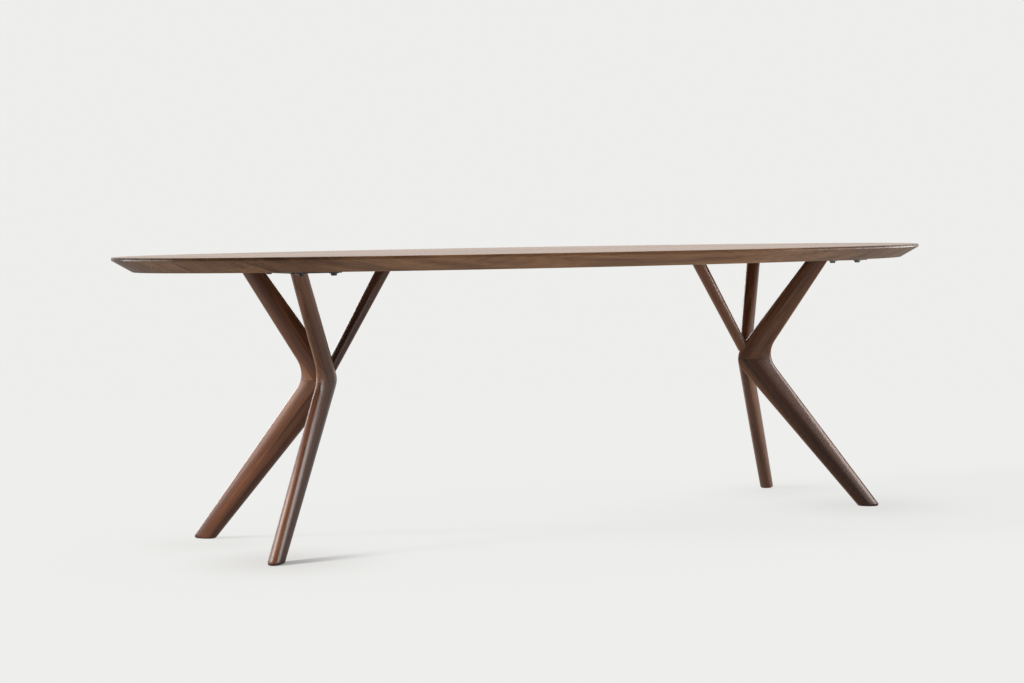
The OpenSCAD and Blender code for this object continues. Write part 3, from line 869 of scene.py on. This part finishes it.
class TABLE_OT_top_boards(Operator):
    """Adds the nine boards of the oval top"""

    bl_idname = "walnut_table.top_boards"
    bl_label = "Top Boards"

    def execute(self, context):
        t = settings()
        top, h = t.top, t.hardware
        underside = top.table_height - top.thickness
        rings = rim_rings(top)
        hole = h.bolt_diameter / 2 + h.insert_wall + h.fit_gap
        hole_top = underside - h.plate_thickness - h.washer_thickness + h.bolt_length + h.end_gap
        for number in range(1, BOARD_COUNT + 1):
            low, high = board_edges(top, number)
            middle = (low + high) / 2
            bm = loft(rings)
            if number > 1:
                trim(bm, (0, low, 0), (0, -1, 0))
            if number < BOARD_COUNT:
                trim(bm, (0, high, 0), (0, 1, 0))
            name = f"walnut_board_{number}"
            mesh = to_mesh(bm, name)
            cutters = [
                post(hole, underside - OVERCUT, hole_top, 48, (side * x, y))
                for side in SIDES.values()
                for x, y in bolt_spots(t)
                if low < y + hole and y - hole < high
            ]
            if cutters:
                mesh = carved(mesh, cutters, f"board {number}")
            # Each board comes from another place in the log, and runs a little askew
            axis = (1.0, 0.010 * math.sin(number * 2.4), 0.014 * math.cos(number * 1.7))
            depth = math.copysign(0.09 + 0.05 * math.sin(number * 3.3), math.cos(number * 3.0))
            pith = (3.7 * number, 0.045 * math.sin(number * 5.1), depth)
            at, tone = (0.0, middle, top.table_height), 0.06 * math.sin(number * 4.2)
            finish = walnut(f"board {number} walnut", t.top_finish, axis, at, pith, tone)
            add_piece(name, mesh, "table", [f"top_board_{number}"], finish)
        return {"FINISHED"}


def strut_cutters(form, h):
    """Holes for the dowels in one strut's knee."""
    radius = h.knee_dowel / 2 + h.fit_gap
    reach = h.knee_dowel_length / 2 + h.end_gap
    return [
        post(radius, form.seam - reach, form.seam + reach, at=form.along(run, form.leg_heading))
        for run in (h.knee_dowel_near, h.knee_dowel_far)
    ]


def dowel_cutter(h, dowel_length, x, height, angle, axis):
    """The hole of a dowel in the knot, turned from upright round an axis."""
    reach = dowel_length / 2 + h.end_gap
    turn = Matrix.Translation((x, 0, height)) @ Matrix.Rotation(angle, 4, axis)
    return post(h.knot_dowel / 2 + h.fit_gap, -reach, reach, turn=turn)


def knot_dowel_cutter(form, h, height):
    return dowel_cutter(h, h.knot_dowel_length, form.s.knot_x, height, math.pi / 2, "X")


def inner_dowel_cutter(form, h):
    x = form.s.knot_x - h.inner_dowel_rise * form.inner_slope
    height = form.s.knot_height + h.inner_dowel_rise
    lean = -math.atan(form.inner_slope)
    return dowel_cutter(h, h.inner_dowel_length, x, height, lean, "Y")


def screw_cutters(form, h, spots):
    radius = h.screw_diameter / 2 + h.arm_insert_wall + h.fit_gap
    low = form.underside - h.screw_sink - h.screw_length - h.end_gap
    return [post(radius, low, form.arm_end + OVERCUT, at=spot) for spot in spots]


class TABLE_OT_legs(Operator):
    """Adds the four lower legs, from the sole to the glue seam in the knee"""

    bl_idname = "walnut_table.legs"
    bl_label = "Legs"

    def execute(self, context):
        t = settings()
        h, form = t.hardware, StrutForm(t)
        ease = t.struts.foot_ease
        heights = [ease * (1 - math.cos(math.pi * k / 16)) for k in range(SOLE_ROWS)]
        heights += [mix(SOLE_ZONE, form.seam, part**LEG_DRAW) for part in spaced(LEG_ROWS)]
        bm = loft([form.ring(z) for z in heights])
        trim(bm, (0, 0, 0), (0, -1, 0))
        foot = form.along(form.leg_run - h.glide_setback, form.leg_heading)
        pad_top = h.glide_recess + h.glide_thickness + h.fit_gap
        recess_top = pad_top + h.collar_height + h.collar_play
        screw_top = pad_top - h.glide_socket + h.glide_screw_length
        hole_top = max(screw_top, recess_top + h.foot_insert_length) + h.end_gap
        insert = h.glide_screw / 2 + h.insert_wall + h.fit_gap
        cutters = [
            post(h.glide_diameter / 2 + h.glide_play, -OVERCUT, recess_top, 64, foot),
            post(insert, recess_top - OVERCUT, hole_top, 48, foot),
            knot_dowel_cutter(form, h, form.seam - h.knot_dowel_below),
            *strut_cutters(form, h),
        ]
        mesh = carved(to_mesh(bm, "leg"), cutters, "leg")
        middle = form.along(form.leg_run / 2, form.leg_heading, form.seam / 2)
        pith, pith_step = (0.0, 0.10, 0.05), (2.3, 0.015, -0.02)
        # The legs get the painted shade line along their crease
        add_corner_pieces(
            "leg", mesh, form, form.leg_axis, middle, pith, pith_step, LEG_TONES_AND_SHADE, crease_shaded=True
        )
        return {"FINISHED"}


def outer_arm(form):
    """The whole upper part of the right back strut, not yet cut at the middle plane."""
    heights = [mix(form.seam, form.arm_end, part**ARM_DRAW) for part in spaced(ARM_ROWS)]
    return loft([form.ring(z) for z in heights])


class TABLE_OT_arms(Operator):
    """Adds the four upper arms, from the glue seam in the knee to the plate"""

    bl_idname = "walnut_table.arms"
    bl_label = "Arms"

    def execute(self, context):
        t = settings()
        h, form = t.hardware, StrutForm(t)
        bm = outer_arm(form)
        trim(bm, (0, 0, 0), (0, -1, 0))
        run = (form.arm_end - t.struts.knot_height) * form.arm_slope - h.outer_screw_setback
        spots = [
            form.along(run + side * h.outer_screw_spacing / 2, form.arm_heading)
            for side in (-1, 1)
        ]
        cutters = [
            knot_dowel_cutter(form, h, form.seam + h.knot_dowel_above),
            inner_dowel_cutter(form, h),
            *strut_cutters(form, h),
            *screw_cutters(form, h, spots),
        ]
        mesh = carved(to_mesh(bm, "arm"), cutters, "arm")
        middle = form.arm_axis / 2 + form.along(0, 0, t.struts.knot_height)
        pith, pith_step = (1.0, -0.09, 0.06), (3.1, -0.012, 0.02)
        add_corner_pieces("arm", mesh, form, form.arm_axis, middle, pith, pith_step, ARM_TONES_AND_SHADE)
        return {"FINISHED"}


class TABLE_OT_inner_arms(Operator):
    """Adds the two slim inner arms, scribed round the knots"""

    bl_idname = "walnut_table.inner_arms"
    bl_label = "Inner Arms"

    def execute(self, context):
        t = settings()
        h, form = t.hardware, StrutForm(t)
        start = mix(form.seam, form.arm_end, INNER_START)
        heights = [mix(start, form.arm_end, part) for part in spaced(INNER_ROWS)]
        bm = loft([form.inner_ring(z) for z in heights])
        trim(bm, (t.struts.knot_x, 0, 0), (1, 0, 0))
        back, front = outer_arm(form), outer_arm(form)
        bmesh.ops.transform(front, matrix=Matrix.Diagonal((1, -1, 1, 1)), verts=front.verts[:])
        bmesh.ops.reverse_faces(front, faces=front.faces[:])
        x = t.struts.knot_x - (form.arm_end - t.struts.knot_height) * form.inner_slope
        x += h.inner_screw_setback
        spots = [(x + side * h.inner_screw_spacing / 2, 0) for side in (-1, 1)]
        cutters = [back, front, inner_dowel_cutter(form, h), *screw_cutters(form, h, spots)]
        mesh = carved(to_mesh(bm, "inner arm"), cutters, "inner arm")
        largest_island(mesh)
        for side, side_x in SIDES.items():
            flip = Vector((side_x, 1, 1))
            finish = walnut(
                f"inner arm {side} walnut",
                t.base_finish,
                flip * form.inner_axis,
                flip * Vector((t.struts.inner_top_x, 0, form.arm_end)),
                (4.3 * side_x, 0.08, 0.05 * side_x),
                # Partly the wood's own tone, partly painted light and shade
                INNER_TONES_AND_SHADE[side],
            )
            name = f"walnut_inner_arm_{side}"
            copy = mirrored(mesh, side_x, 1, name)
            add_piece(name, copy, "table", [f"inner_arm_{side}"], finish)
        return {"FINISHED"}


def hex_radius(flats, angle):
    return flats / 2 / math.cos((angle + math.pi / 6) % (math.pi / 3) - math.pi / 6)


def hex_bolt(h, x, y, low, high):
    """A bolt hanging head down: chamfered hexagon head, and shank up to high."""
    flat, shank = h.bolt_head_flats / 2 * BOLT_FACE, h.bolt_diameter / 2
    head_top = low + h.bolt_head_height
    rings = [[] for _ in range(6)]
    for i in range(BOLT_SIDES):
        angle = math.tau * i / BOLT_SIDES
        corner = hex_radius(h.bolt_head_flats, angle)
        chamfer = (corner - flat) * math.tan(math.pi / 6)
        outline = (
            (flat, low),
            (corner, low + chamfer),
            (corner, head_top),
            (shank, head_top),
            (shank, high - shank * BOLT_TIP),
            (shank * (1 - BOLT_TIP), high),
        )
        for ring, (radius, z) in zip(rings, outline):
            ring.append((x + radius * math.cos(angle), y + radius * math.sin(angle), z))
    return loft(rings)


def joined(parts):
    """One mesh out of several closed ones."""
    whole = bmesh.new()
    for bm in parts:
        step = to_mesh(bm, "part")
        whole.from_mesh(step)
        bpy.data.meshes.remove(step)
    return whole


class TABLE_OT_hardware(Operator):
    """Adds the bolts and washers, and finishes the plates, screws, inserts and dowels"""

    bl_idname = "walnut_table.hardware"
    bl_label = "Hardware"

    def execute(self, context):
        t = settings()
        h, form = t.hardware, StrutForm(t)
        washer_low = form.arm_end - h.washer_thickness
        low = washer_low - h.bolt_head_height
        spots = [(side * x, y) for side in (-1, 1) for x, y in bolt_spots(t)]
        black, dark = powder_coat(), turned_metal("black zinc plate")
        bright, turned, dowel = turned_metal("zinc plate"), turned_metal("turned brass"), beech()
        bolts = joined([hex_bolt(h, x, y, low, washer_low + h.bolt_length) for x, y in spots])
        add_piece(
            "hex_bolts", to_mesh(bolts, "hex_bolts"), "table", ["plate_bolts"], dark
        )
        for nodes, finish in (
            (("mounting_plate_left", "mounting_plate_right"), black),
            (("plate_washers",), dark),
            (("arm_screws",), bright),
            (("top_inserts", "arm_inserts", "foot_inserts"), turned),
            (("knee_dowels", "knot_dowels", "inner_arm_dowels"), dowel),
        ):
            for node in nodes:
                dress(node, finish)
        return {"FINISHED"}


class TABLE_OT_glides(Operator):
    """Finishes the levelling glides and their screws in the feet"""

    bl_idname = "walnut_table.glides"
    bl_label = "Levelling Glides"

    def execute(self, context):
        nylon, bright = moulded_nylon(), turned_metal("zinc plate")
        for side in SIDES:
            for depth in DEPTHS:
                dress(f"glide_{side}_{depth}", nylon)
                dress(f"glide_screw_{side}_{depth}", bright)
        return {"FINISHED"}


# Stage


FLOOR_RADIUS = 60.0
FLOOR_DROP = 0.2 * MM
SHADOW_REACH = 0.45  # how far from a foot the floor's shading fades out
SHADE_TURN = (0.55, 1.0)  # distances to the front left over which it grows to its full strength
FAINT_SHADE, PLAIN_SHADE = 0.18, 0.05  # its share elsewhere near the feet, and far from them
FRONT_TURN = (-0.3, 0.4)  # directions over which the reflected backdrop darkens to the front
FLOOR_FADE = (2.2, 6.0)  # distances over which the floor turns into the plain backdrop
LEFT, MIDDLE, RIGHT = (-0.8, 0.0, 0.4), (0.0, 0.0, 0.4), (0.8, 0.0, 0.4)  # what most lamps aim at
# Name, place, aim, width, height, what it lights, and the rays that see it
LAMPS = (
    ("left lamp", (-1.96, 0.0, 1.68), LEFT, 1.1, 1.1, "bases", "both"),
    ("low left lamp", (-2.18, 0.8, 0.98), LEFT, 1.3, 1.1, "bases", "both"),
    ("back lamp", (0.0, 3.33, 1.11), MIDDLE, 3.0, 1.8, "bases", "both"),
    ("right lamp", (2.18, -0.8, 0.98), RIGHT, 1.2, 1.2, "bases", "diffuse"),
    ("right card", (1.6, -1.38, 1.12), RIGHT, 1.5, 1.1, "bases", "gloss"),
    ("front card", (0.0, -3.33, 1.11), MIDDLE, 1.8, 1.5, "bases", "gloss"),
    ("end lamp", (2.15, -0.62, 0.6), (0.9, -0.21, 0.6), 1.9, 0.24, "top", "gloss"),
    ("left end lamp", (-2.15, 0.3, 0.6), (-1.2, -0.1, 0.6), 1.3, 0.24, "top", "gloss"),
    ("front fill", (-1.38, -1.0, 1.68), LEFT, 0.9, 0.9, "bases", "diffuse"),
    ("top lamp", (0.1, 0.4, 3.2), (0.1, 0.0, 0.7), 2.6, 1.6, "top", "diffuse"),
    ("edge lamp", (0.6, -2.3, 0.1), (0.3, -0.5, 0.72), 2.2, 0.6, "top", "diffuse"),
)
# Name, strength, where it comes from, and how many degrees wide it looks
FLOOR_LAMPS = (
    ("floor key", 4.0, (-1.77, 0.42, 1.0), 12),
    ("floor fill", 1.25, (0.0, 0.3, 3.0), 60),
)
LENS = 70.8676  # millimetres, on a sensor 36 mm wide
CAMERA_PLACE = (-2.7643, -4.7941, 0.8273)
CAMERA_TURN = (86.59933, 0.66344, -28.97045)  # degrees


def background_rays(s):
    """1 for the rays that show the plain background, in view, in gloss or through glass."""
    return s.ray("Is Camera Ray").above(s.ray("Is Glossy Ray")).above(s.ray("Is Transmission Ray"))


def add_floor(studio, struts):
    """The pale floor, plain but for the shadows near the feet, and dim to other light."""
    bm = bmesh.new()
    bmesh.ops.create_circle(bm, cap_ends=True, segments=96, radius=FLOOR_RADIUS)
    floor = bpy.data.objects.new("floor", to_mesh(bm, "floor"))
    floor.location.z = -FLOOR_DROP
    bpy.context.scene.collection.objects.link(floor)
    material, s = new_material("pale floor")
    here = s.place()
    x, y = s.part(here, 0), s.part(here, 1)
    quarter = s.node("ShaderNodeCombineXYZ", None, {"X": x.size(), "Y": y.size()}).outputs[0]
    foot = s.distance(quarter, (struts.foot_x, struts.foot_y, 0.0))
    near = 1.0 - foot.rise(0.0, SHADOW_REACH)
    front_left = FAINT_SHADE + (1.0 - FAINT_SHADE) * (-1.0 * x - y).rise(*SHADE_TURN)
    fade = 1.0 - s.distance(here).rise(*FLOOR_FADE)
    seen = (PLAIN_SHADE + near * near * front_left * studio.shadow) * fade
    lit = s.light("ShaderNodeBsdfDiffuse", Color=studio.backdrop)
    dim = s.light("ShaderNodeBsdfDiffuse", Color=darkened(studio.backdrop, studio.bounce))
    plain = s.light("ShaderNodeEmission", Color=studio.backdrop, Strength=1.0)
    gloss = s.ray("Is Glossy Ray") * (1.0 - studio.floor_gloss)
    shown = s.mixed(gloss, s.mixed(seen, plain, lit))
    s.finish(s.mixed(background_rays(s), dim, shown))
    material.cycles.emission_sampling = "NONE"
    floor.data.materials.append(material)
    return floor


def add_backdrop(studio):
    """The world: plain in view, darker towards the front in reflections, dim as light."""
    world = bpy.data.worlds.new("studio")
    bpy.context.scene.world = world
    s = Shader(world)
    front = (-1.0 * s.part(s.place("Generated"), 1)).rise(*FRONT_TURN)
    strength = 1.0 - s.ray("Is Glossy Ray") * front * (1.0 - studio.front_gloss)
    shown = s.light("ShaderNodeBackground", Color=studio.backdrop, Strength=strength)
    soft = s.light("ShaderNodeBackground", Color=(1.0, 1.0, 1.0), Strength=studio.ambient)
    s.finish(s.mixed(background_rays(s), soft, shown), "ShaderNodeOutputWorld")
    world.cycles.sampling_method = "NONE"


def add_lamp(lamp, place, aim, lights):
    """Adds a lamp that lights only the objects in a collection."""
    holder = bpy.data.objects.new(lamp.name, lamp)
    holder.location = place
    holder.rotation_euler = (Vector(aim) - Vector(place)).to_track_quat("-Z", "Y").to_euler()
    holder.visible_camera = False
    bpy.context.scene.collection.objects.link(holder)
    holder.light_linking.receiver_collection = lights
    return holder


def lit_group(name, things, state="INCLUDE"):
    """What a lamp lights: only these things, or all but them."""
    group = bpy.data.collections.new(name)
    for thing in things:
        group.objects.link(thing)
    for entry in group.collection_objects:
        entry.light_linking.link_state = state
    return group


def add_lamps(studio, floor):
    boards = [bpy.data.objects[f"walnut_board_{n}"] for n in range(1, BOARD_COUNT + 1)]
    groups = {
        "bases": lit_group("base light", [floor, *boards], "EXCLUDE"),
        "top": lit_group("top light", boards),
    }
    ground = lit_group("floor light", [floor])
    for name, place, aim, width, height, lit, rays in LAMPS:
        lamp = bpy.data.lights.new(name, "AREA")
        lamp.shape = "RECTANGLE"
        lamp.size, lamp.size_y = width, height
        lamp.energy = getattr(studio, name.replace(" ", "_"))
        holder = add_lamp(lamp, place, aim, groups[lit])
        holder.visible_glossy = rays != "diffuse"
        holder.visible_diffuse = rays != "gloss"
    for name, strength, towards, spread in FLOOR_LAMPS:
        lamp = bpy.data.lights.new(name, "SUN")
        lamp.energy, lamp.angle = strength, math.radians(spread)
        add_lamp(lamp, towards, (0, 0, 0), ground)


def add_camera(scene):
    camera = bpy.data.objects.new("camera", bpy.data.cameras.new("camera"))
    camera.data.lens = LENS
    camera.data.clip_end = 200.0
    camera.location = CAMERA_PLACE
    camera.rotation_euler = [math.radians(angle) for angle in CAMERA_TURN]
    scene.collection.objects.link(camera)
    scene.camera = camera


class TABLE_OT_stage(Operator):
    """Adds the pale floor, the backdrop, the lamps and the camera"""

    bl_idname = "walnut_table.stage"
    bl_label = "Studio"

    def execute(self, context):
        studio = settings().studio
        floor = add_floor(studio, settings().struts)
        add_backdrop(studio)
        add_lamps(studio, floor)
        add_camera(context.scene)
        context.scene.view_settings.view_transform = "Standard"
        return {"FINISHED"}


STEPS = (
    TABLE_OT_top_boards,
    TABLE_OT_legs,
    TABLE_OT_arms,
    TABLE_OT_inner_arms,
    TABLE_OT_hardware,
    TABLE_OT_glides,
    TABLE_OT_stage,
)


class TABLE_PT_panel(Panel):
    """Lists the table's sizes, finishes and steps"""

    bl_idname = "TABLE_PT_panel"
    bl_label = "Oval Walnut Table"
    bl_space_type = "VIEW_3D"
    bl_region_type = "UI"
    bl_category = "Table"

    def draw(self, context):
        for group in ("top", "struts", "hardware", "top_finish", "base_finish", "studio"):
            values = getattr(settings(), group)
            box = self.layout.box()
            box.label(text=group.replace("_", " ").capitalize())
            for name in values.__annotations__:
                box.prop(values, name)
        for step in STEPS:
            self.layout.operator(step.bl_idname)


CLASSES = (
    TopSizes,
    StrutSizes,
    HardwareSizes,
    TopFinish,
    BaseFinish,
    StudioSettings,
    TableSettings,
    *STEPS,
    TABLE_PT_panel,
)


def register():
    for cls in CLASSES:
        bpy.utils.register_class(cls)
    bpy.types.Scene.walnut_table = PointerProperty(type=TableSettings)


def unregister():
    del bpy.types.Scene.walnut_table
    for cls in reversed(CLASSES):
        bpy.utils.unregister_class(cls)


def main():
    register()
    for step in STEPS:
        group, name = step.bl_idname.split(".")
        getattr(getattr(bpy.ops, group), name)()


if __name__ == "__main__":
    main()
